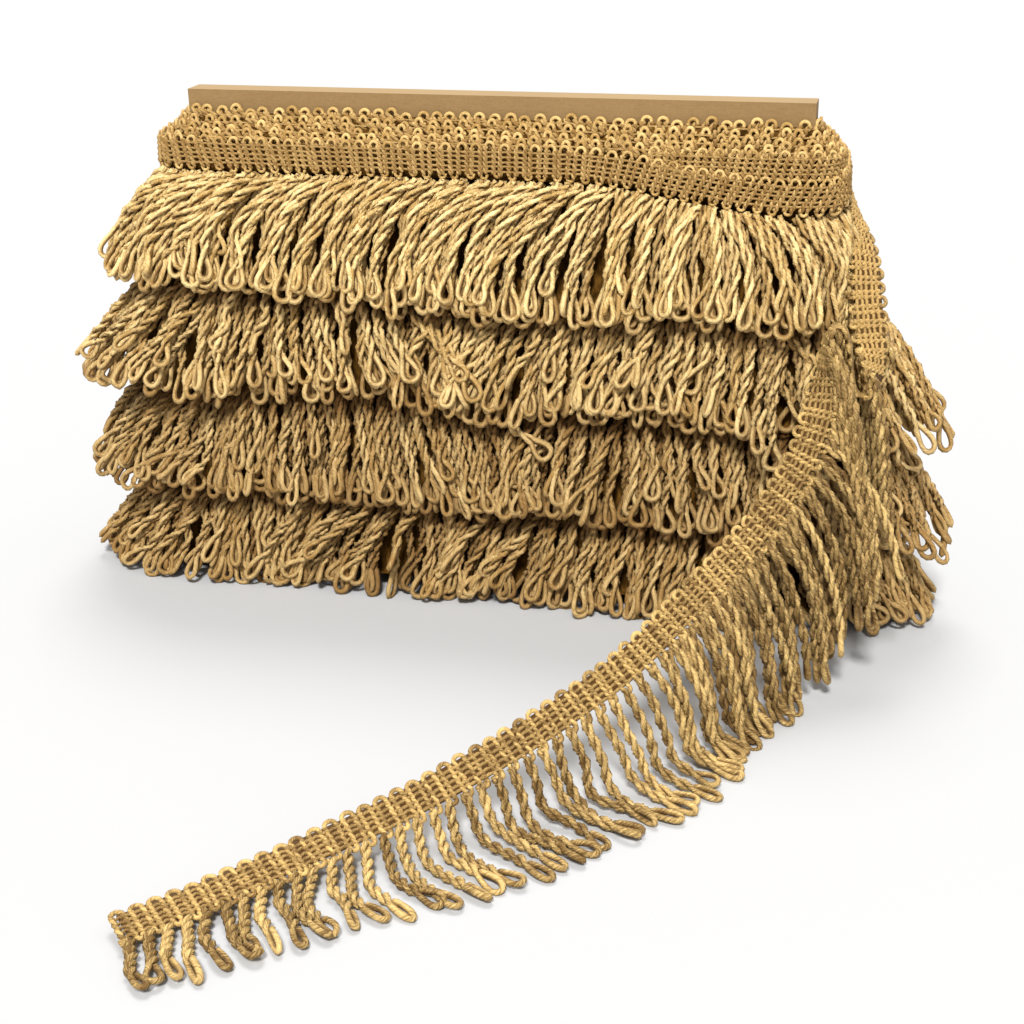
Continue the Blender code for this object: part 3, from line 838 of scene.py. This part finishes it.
# one layer of cords of a tier, or its extra cords at the right end or the front left corner
def tierCords(skirt, number, where="round"):
    setup, layer, atEnd = tierSetup, layerSetup[number], where == "rightEnd"
    share = cordShares(skirt, number, where)
    count = len(share)
    place = loopPlace(share)
    toFront, toBack = np.clip(-place[2], 0.0, 1.0), np.clip(place[2], 0.0, 1.0)
    # lean aside
    lean = np.interp(place[0], leanStations, tierLeans[skirt]) * toFront
    lean = lean * (setup["cornerLean"] if where == "corner" else setup["innerLean"][number])
    lean = lean + setup["backLean"] * np.sin(setup["backWaves"] * share * 2.0 * np.pi + skirt) * toBack
    middle, width = tierTangles[skirt]
    tangle = np.exp(-(((place[0] - middle) / width) ** 2)) * (place[2] < 0.0)
    free = setup["loose"][number]
    isStray = dice.random(count) < setup["strays"] * (number == 2)
    stray = isStray * dice.normal(0.0, setup["strayLean"], count)
    spread = setup["leanJitter"] + setup["tangleLean"] * tangle
    lean = lean + dice.normal(0.0, 1.0, count) * spread * free + stray
    steps = np.linspace(layer["start"], 1.0, layer["stations"])[None]
    onWay, fromRoot = np.clip(steps, 0.0, 1.0), np.clip(steps * 2.0, 0.0, 1.0)
    swing = 1.0 - (1.0 - onWay) ** setup["archSwing"] if skirt == 0 else onWay
    sway = dice.uniform(*setup["sway"], (count, 1)) * fromRoot
    sway = sway * ownWave(steps, setup["swayWaves"], count)
    shareAt = share[:, None] + (lean[:, None] * swing + sway) / loopLength
    placeAt = loopPlace(shareAt)
    # height of the tips and along the cords
    tipJitter = dice.uniform(-1.0, 1.0, count) * setup["tipJitter"]
    tipJitter = tipJitter + tangle * dice.uniform(0.0, setup["tangleLift"], count) * free
    lift = setup["tipLift"][skirt] * dice.random(count) ** setup["liftPower"] * setup["layerLift"][number]
    if atEnd:
        lift = -dice.uniform(0.0, 1.0, count) * setup["endDrop"] * (skirt < 3)
    tipJitter = tipJitter + lift
    if skirt == 3:
        tipJitter = np.abs(tipJitter) + setup["floorClear"]
    high, tip = topHeight(skirt, placeAt), tipHeight(skirt, placeAt)
    low = tip + tipJitter[:, None] + cordSetup["loopLength"] * setup["loopShare"]
    if number == 0 and skirt < 3:
        low = low - setup["innerDrop"]
    fall = onWay ** setup["archDrop"] if skirt == 0 else onWay
    height = high + (low - high) * np.where(steps > 0.0, fall, steps)
    wallShare = np.clip((high - height) / np.maximum(high - tip, 1.0), -0.1, 1.0)
    # reach outward
    reach = blendTo(layer["root"], layer["tip"], onWay**0.8)
    if atEnd:
        reach = reach + onWay * dice.uniform(0.0, 1.0, (count, 1)) * setup["endReach"]
    reach = reach + onWay**1.5 * leftSplay(skirt, share, place[0])[:, None]
    bow = setup["bow"][skirt] * np.sin(np.pi * onWay)
    jitter = dice.normal(0.0, setup["reachJitter"], (count, 1)) * fromRoot
    wave = setup["wave"] * ownWave(steps, setup["waveWaves"], count) * fromRoot
    over = np.abs(lift) / setup["liftMost"] * setup["liftReach"]
    over = over + np.abs(stray) / setup["strayLean"] * setup["strayReach"]
    tangled = tangle[:, None] * dice.uniform(*setup["tangleReach"], (count, 1)) * swing
    if skirt == 0:
        reach = reach - setup["bareReach"] * isBare(share)[:, None]
    out = reach + bow + jitter + wave + over[:, None] * onWay + tangled
    axis = skirtSpot(skirt, wallShare, placeAt, out, height)
    near, far = (
        skirtSpot(skirt, wallShare[:, -1], loopPlace(shareAt[:, -1] + shift), reach[:, -1], height[:, -1])
        for shift in (0.002, -0.002)
    )
    # own tone at random, and painted shade by layer, under the tier above, by tier and at the right end
    tone = np.zeros((*axis.shape[:2], 3))
    tone[..., 0] = dice.random((count, 1))
    rootShade = (skirt > 0) * setup["rootShade"] * np.clip(1.0 - steps / setup["rootShare"], 0.0, 1.0)
    tone[..., 1] = layer["layerShade"] + rootShade + setup["shade"][skirt] + setup["endShade"] * atEnd
    tone[..., 1] = np.clip(tone[..., 1], 0.0, setup["darkest"])
    twist = dice.uniform(*setup["twist"][skirt], count)
    return twistedCords(axis, unit(near - far), tone, twist, cordSetup)


def buildTier(skirt):
    batches = [tierCords(skirt, number) for number in range(3)]
    if skirt > 0:
        batches.append(tierCords(skirt, 2, "rightEnd"))
    return meshOfTubes("cordsOfTier%d" % (skirt + 1), batches, materials["cordGold"], lowest=floorGap)


def buildCornerCords():
    batches = [tierCords(skirt, 1, "corner") for skirt in range(4)]
    return meshOfTubes("cordsOfCorner", batches, materials["cordGold"], lowest=floorGap)


# the loose end: middle line of its heading and the way its cords leave it, in mm
looseEnd = {
    "rows": [
        (173.0, 13.0, 215.0, 0.0, -1.0, -0.1),
        (176.5, 11.0, 207.0, -0.2, -0.9, 0.4),
        (180.5, 2.5, 197.5, -0.6, -0.7, 0.4),
        (184.5, -10.0, 187.0, -0.85, -0.55, 0.1),
        (187.0, -22.0, 173.5, -1.0, -0.2, 0.0),
        (190.0, -34.0, 158.0, -1.0, -0.2, 0.0),
        (193.2, -43.5, 146.0, -0.7, -0.7, 0.1),
        (194.0, -50.0, 137.0, -0.2, -1.0, 0.2),
        (189.5, -54.0, 131.5, 0.0, -1.0, 0.2),
        (184.8, -55.0, 135.0, 0.0, -1.0, 0.2),
        (182.6, -55.5, 145.0, 0.0, -1.0, 0.2),
        (181.2, -56.0, 156.0, 0.0, -1.0, 0.2),
        (177.6, -57.0, 164.5, 0.0, -1.0, 0.2),
        (173.0, -58.5, 163.5, 0.1, -1.0, 0.1),
        (170.8, -60.5, 154.0, 0.3, -1.0, 0.0),
        (170.6, -64.0, 141.0, 0.7, -0.7, -0.2),
        (169.0, -73.0, 125.0, 0.8, -0.3, -0.5),
        (162.5, -88.0, 106.0, 0.75, 0.0, -0.65),
        (146.5, -112.0, 83.5, 0.75, 0.05, -0.65),
        (128.0, -142.0, 68.0, 0.75, 0.0, -0.65),
        (105.0, -180.0, 50.5, 0.75, -0.05, -0.65),
        (83.0, -206.0, 38.5, 0.75, -0.1, -0.6),
        (60.0, -230.0, 28.5, 0.75, -0.2, -0.55),
        (27.0, -262.0, 17.5, 0.75, -0.35, -0.45),
        (-7.0, -294.0, 10.0, 0.75, -0.5, -0.3),
        (-36.0, -324.0, 6.5, 0.7, -0.65, -0.2),
        (-61.0, -350.0, 5.2, 0.7, -0.7, -0.15),
    ],
    "steps": 12,
    "spacing": 1.75,
    "clothWidth": 12.6,
    "clothThickness": 0.6,
    "clothTone": 0.2,
    "clothShade": 0.85,
    "foldAt": 100.0,
    # cords: their spacing, full reach, and the shorter reach of the last ones, which curl on the floor
    "cordPitch": 7.5,
    "cordLength": 64.0,
    "curledReach": 29.0,
    "curledCords": 26,
    "stations": 30,
    # painted shade on all the cords
    "shade": 0.18,
    # twist and bend of the last cords and of the others
    "endTwist": 8.5,
    "twist": 17.0,
    "endBend": 0.045,
    "bend": 0.03,
    # lowest height of the cords' axes, height above it where they level out, and how they turn aside on the
    # floor: which way, how fast, after how many mm and over how many
    "floor": 2.9,
    "landing": 9.0,
    "floorTrail": (0.95, -0.3, 0.0),
    "floorPull": 0.11,
    "pullFrom": 10.0,
    "pullOver": 24.0,
    # the last cords set out towards the camera
    "tipWay": (-0.35, -0.35, -0.1),
    # near the bundle the cords hang down beside it, longer and in two rows: from and to in mm along the band;
    # the second row has deeper painted shade
    "besideBundle": 98.0,
    "fullFrom": 80.0,
    "fullTo": 330.0,
    "fullLength": 78.0,
    "secondShade": 0.2,
    # how the cords differ: reach, way, bend, waves and their width, twist
    "reachRange": (0.9, 1.04),
    "alongJitter": 0.09,
    "wayJitter": 0.04,
    "bendRange": (0.8, 1.25),
    "waves": (0.7, 1.6),
    "waveRange": (0.4, 1.6),
    "twistRange": (0.93, 1.07),
    # no cords where the fold is tucked away; those near it hang beside the leg: from, to, way
    "tuckFrom": 112.0,
    "tuckTo": 158.0,
    "hangs": [(62.0, 128.0, (0.3, -0.3, -1.0)), (128.0, 200.0, (0.6, -0.35, -0.85))],
}


# a smooth line through the rows, read at even steps
def looseBand():
    rows = np.array(looseEnd["rows"])
    ends = np.concatenate([rows[:1], rows, rows[-1:]])
    t = np.arange(looseEnd["steps"])[:, None] / looseEnd["steps"]
    line = []
    for a, b, c, d in zip(ends, ends[1:], ends[2:], ends[3:]):
        square, cube = 2 * a - 5 * b + 4 * c - d, 3 * b - 3 * c + d - a
        line.append(0.5 * (2 * b + (c - a) * t + square * t**2 + cube * t**3))
    line = np.concatenate(line + [rows[-1:]])
    walked = lengthAlong(line[:, :3])
    even = np.linspace(0.0, walked[-1], int(walked[-1] / looseEnd["spacing"]))
    line = np.stack([np.interp(even, walked, line[:, i]) for i in range(6)], axis=1)
    return bandFrom(line[:, :3], line[:, 3:])


# the cloth under the yarns, thin, and dark with painted shade that shows through the weave
def buildTailCloth(band):
    half, thin = looseEnd["clothWidth"] / 2, looseEnd["clothThickness"] / 2
    u = band["walked"][1:-2]
    across = np.array([-half, -half / 3, half / 3, half])
    v = np.tile(np.concatenate([across, across[::-1]]), (len(u), 1))
    w = np.tile(np.repeat([-thin, thin], 4), (len(u), 1))
    rings = onBand(band, np.repeat(u[:, None], 8, axis=1), v, w)
    turned = np.zeros(rings.shape)
    turned[..., 0] = 1.0
    turned[..., 2] = v
    # own tone, and painted shade over the whole cloth
    tones = np.zeros(rings.shape)
    tones[..., 0] = looseEnd["clothTone"]
    tones[..., 1] = looseEnd["clothShade"]
    batch = (rings[None], turned[None], tones[None])
    return meshOfTubes("tailCloth", [batch], materials["tailWeaveGold"], lowest=floorGap)


tailWeaveSetup = dict(
    weaveSetup,
    plyRadius=0.9,
    plyOffset=0.5,
    scallopRadius=1.05,
    archReach=0.33,
    ribReach=0.31,
    rungRadius=0.8,
    rungGap=2.4,
    rungLevel=0.3,
    foldAt=looseEnd["foldAt"],
)


def buildTailWeave(band):
    batches = weaveTubes(band, tailWeaveSetup)
    return meshOfTubes("tailWeave", batches, materials["tailWeaveGold"], lowest=floorGap)


# the space the wound bundle takes up, with its cords, by height
bundleReach = {
    "height": [0.0, 54.0, 107.0, 159.0, 217.0, 240.0],
    "front": [49.0, 49.0, 49.0, 49.0, 29.0, 22.0],
    "right": [83.0, 80.0, 70.0, 30.0, 20.0, 18.0],
}


def keepOutOfBundle(spot):
    half, power = wound["halfSpine"], wound["roundness"]
    front = np.interp(spot[:, 2], bundleReach["height"], bundleReach["front"])
    right = np.interp(spot[:, 2], bundleReach["height"], bundleReach["right"])
    spine = np.clip(spot[:, 0], -half, half)
    x = spot[:, 0] - spine
    level = (np.abs(x) / right) ** power + (np.abs(spot[:, 1]) / front) ** power
    inside = (level < 1.0) & (level > 1e-6)
    grow = np.where(inside, np.maximum(level, 1e-6) ** (-1.0 / power), 1.0)
    spot[:, 0] = spine + x * grow
    spot[:, 1] = spot[:, 1] * grow
    return spot


# cords that start straight, sink under their weight and turn aside where they lie on the floor
def hangCords(start, direction, length, bend):
    steps, floor = looseEnd["stations"] - 1, looseEnd["floor"]
    step = (length / steps)[:, None]
    trail = np.array(looseEnd["floorTrail"])
    spot, heading = start.copy(), direction.copy()
    path = [spot.copy()]
    for number in range(steps):
        heading[:, 2:] -= bend[:, None] * step
        heading = unit(heading)
        lowest = np.clip((floor - spot[:, 2]) / looseEnd["landing"], -1.0, 0.0)
        onFloor = np.clip((number * step - looseEnd["pullFrom"]) / looseEnd["pullOver"], 0.0, 1.0)
        near = (1.0 + lowest)[:, None] * onFloor * step * looseEnd["floorPull"]
        level = unit(heading * np.array([1.0, 1.0, 0.0]) + trail * (near + 0.01))
        slope = np.maximum(heading[:, 2], lowest)[:, None]
        heading = level * np.sqrt(1.0 - slope**2) + np.array([0.0, 0.0, 1.0]) * slope
        spot = keepOutOfBundle(spot + heading * step)
        spot[:, 2] = np.maximum(spot[:, 2], floor)
        path.append(spot.copy())
    return np.stack(path, axis=1)


tailCordSetup = dict(
    cordSetup,
    plyRadius=1.42,
    plyOffset=1.2,
    sides=5,
    loopLength=11.0,
    loopWidth=2.9,
    loopSteps=10,
    loopTurn=0.5,
    loopSize=(0.75, 1.1),
    openness=(0.42, 0.95),
)


# one row of cords from the fringe edge; the second row fills in behind the first near the bundle
def tailRow(band, second):
    total = band["walked"][-1]
    places = int(total // looseEnd["cordPitch"])
    pitch, last = total / places, places - 1
    u = (np.arange(2, places) + 0.5) * pitch
    if second:
        u = u[(u > looseEnd["fullFrom"]) & (u < looseEnd["fullTo"])] + pitch / 2.0
    u = u[(u < looseEnd["tuckFrom"]) | (u > looseEnd["tuckTo"])]
    count = len(u)
    fromTip = last - u / pitch
    edge, level = np.full(count, weaveSetup["width"] / 2 - 0.5), np.zeros(count)
    start = onBand(band, u, edge, level)
    side = unit(onBand(band, u, edge + 1.0, level) - start)
    along = unit(np.stack([np.interp(u, band["walked"], band["along"][:, i]) for i in range(3)], axis=-1))
    # reach
    straight = np.clip(fromTip / looseEnd["curledCords"], 0.0, 1.0)
    reach = blendTo(looseEnd["curledReach"], looseEnd["cordLength"], straight)
    reach = blendTo(reach, looseEnd["fullLength"], np.clip((looseEnd["fullTo"] - u) / 60.0, 0.0, 1.0))
    reach = reach * dice.uniform(*looseEnd["reachRange"], count) - tailCordSetup["loopLength"] * 0.8
    # the way they set out
    beside = np.clip((looseEnd["besideBundle"] - u) / 20.0, 0.0, 1.0)[:, None]
    side = side * (1.0 - 0.45 * beside) + np.array([0.0, 0.0, -0.7]) * (beside + 0.5 * second)
    side = side + np.array(looseEnd["tipWay"]) * np.clip(1.5 - fromTip / 20.0, 0.0, 1.0)[:, None]
    for begin, finish, way in looseEnd["hangs"]:
        share = np.clip(np.minimum(u - begin, finish - u) / 12.0 + 0.6, 0.0, 1.0)[:, None]
        side = blendTo(side, np.array(way), share)
    side = unit(side)
    direction = side + along * dice.normal(0.0, looseEnd["alongJitter"], (count, 1))
    direction = unit(direction + dice.normal(0.0, looseEnd["wayJitter"], (count, 3)))
    bend = blendTo(looseEnd["bend"], looseEnd["endBend"], np.clip(1.0 - fromTip / 40.0, 0.0, 1.0))
    axis = hangCords(start, direction, reach, bend * dice.uniform(*looseEnd["bendRange"], count))
    steps = np.linspace(0.0, 1.0, looseEnd["stations"])[None]
    wave = ownWave(steps, looseEnd["waves"], count) * dice.uniform(*looseEnd["waveRange"], (count, 1))
    wave = wave * np.clip(2.0 * steps, 0.0, 1.0)
    axis = axis + along[:, None] * wave[..., None]
    # own tone at random, and painted shade, deeper on the second row
    tone = np.zeros((*axis.shape[:2], 3))
    tone[..., 0] = dice.random((count, 1))
    tone[..., 1] = looseEnd["shade"] + looseEnd["secondShade"] * second
    twist = blendTo(looseEnd["endTwist"], looseEnd["twist"], np.clip((fromTip - 6) / 30.0, 0.0, 1.0))
    twist = twist * dice.uniform(*looseEnd["twistRange"], count)
    return twistedCords(axis, along, tone, twist, tailCordSetup)


def buildTailCords(band):
    batches = [tailRow(band, False), tailRow(band, True)]
    return meshOfTubes("tailCords", batches, materials["tailCordGold"], lowest=floorGap)


# card of the board: fine grain, fibres along it and broad patches, with painted light where it faces up
boardLook = {
    "deepKraft": (0.205, 0.122, 0.047, 1.0),
    "paleKraft": (0.305, 0.192, 0.08, 1.0),
    "paintedTopLight": (0.37, 0.26, 0.135, 1.0),
    "paintedTopLightShare": 0.6,
    "grainScale": 900.0,
    "fibreStretch": (60.0, 300.0, 420.0),
    "patchScale": 22.0,
}


def kraftBoard(look):
    material, tree, shader = newMaterial("kraftBoard", roughness=0.82, specular=0.25)
    spot = tree.nodes.new("ShaderNodeTexCoord").outputs["Object"]
    along = addNode(tree, "ShaderNodeMapping", _0=spot, Scale=look["fibreStretch"]).outputs[0]
    grain = noiseAt(tree, spot, look["grainScale"], 4.0, 0.7)
    fibres = noiseAt(tree, along, 3.0, 3.0)
    patches = noiseAt(tree, spot, look["patchScale"], 2.0)
    share = maths(tree, "MULTIPLY_ADD", grain, 0.5, maths(tree, "MULTIPLY", fibres, 0.35))
    share = maths(tree, "MULTIPLY_ADD", patches, 0.3, share)
    colour = mixColour(tree, stretchRange(tree, share, 0.3, 0.8), look["deepKraft"], look["paleKraft"])
    facing = tree.nodes.new("ShaderNodeNewGeometry").outputs["Normal"]
    up = addNode(tree, "ShaderNodeSeparateXYZ", _0=facing).outputs[2]
    # painted light: paler where the surface faces up
    colour = mixColour(tree, maths(tree, "MULTIPLY", up, look["paintedTopLightShare"]), colour, look["paintedTopLight"])
    tree.links.new(colour, shader.inputs["Base Color"])
    addBump(tree, shader, share, 0.25, 0.0003)
    return material


# floor and light
studio = {
    "floorSize": 16.0,
    "floorColour": (0.455, 0.455, 0.454),
    "world": 0.60,
    # name, where it shines from, power, width in degrees
    "suns": [
        ("frontSun", (0.08, -0.64, 0.80), 4.3, 12.0),
        ("backSun", (-0.12, 0.5, 1.0), 1.9, 24.0),
    ],
}


def addSun(name, source, power, width):
    data = bpy.data.lights.new(name, "SUN")
    data.energy = power
    data.angle = math.radians(width)
    lamp = addObject(name, data)
    aim = -np.array(source)
    tilt = math.atan2(math.hypot(aim[0], aim[1]), -aim[2])
    lamp.rotation_euler = (tilt, 0.0, math.atan2(aim[1], aim[0]) - math.pi / 2)


def buildStudio(setup):
    half = setup["floorSize"] / 2
    mesh = bpy.data.meshes.new("studioFloor")
    corners = [(-half, -half, 0.0), (half, -half, 0.0), (half, half, 0.0), (-half, half, 0.0)]
    mesh.from_pydata(corners, [], [(0, 1, 2, 3)])
    material, tree, shader = newMaterial("paleFloor", roughness=0.9, specular=0.1)
    shader.inputs["Base Color"].default_value = (*setup["floorColour"], 1.0)
    mesh.materials.append(material)
    addObject("studioFloor", mesh)
    world = bpy.data.worlds.new("softStudio")
    world.use_nodes = True
    sky = world.node_tree.nodes["Background"].inputs
    sky["Color"].default_value = (1.0, 1.0, 1.0, 1.0)
    sky["Strength"].default_value = setup["world"]
    bpy.context.scene.world = world
    bpy.context.scene.view_settings.view_transform = "Standard"
    for name, source, power, width in setup["suns"]:
        addSun(name, source, power, width)


buildStudio(studio)
print("studio ready")

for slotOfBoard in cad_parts["board"].material_slots:
    slotOfBoard.material = kraftBoard(boardLook)


def dress(piece, slot, *replaced):
    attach(piece, "root")
    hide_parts(*replaced)


for piece in (buildWoundCore(), buildHeadingStack(), buildOuterHeading()):
    dress(piece, "gold_yarn", "wound_trim")
print("wound bundle ready")

for tier in range(4):
    dress(buildTier(tier), "gold_fringe", "fringe_tier_%d" % (tier + 1))
print("tiers ready")

tailBand = looseBand()
tailCloth = buildTailCloth(tailBand)
tailWeave = buildTailWeave(tailBand)
tailCords = buildTailCords(tailBand)
dress(tailCloth, "gold_yarn", "tail_heading")
dress(tailWeave, "gold_yarn", "tail_heading")
dress(tailCords, "gold_fringe", "tail_fringe")

dress(buildCornerCords(), "gold_fringe", "fringe_tier_1", "fringe_tier_2", "fringe_tier_3", "fringe_tier_4")
print("corner ready")
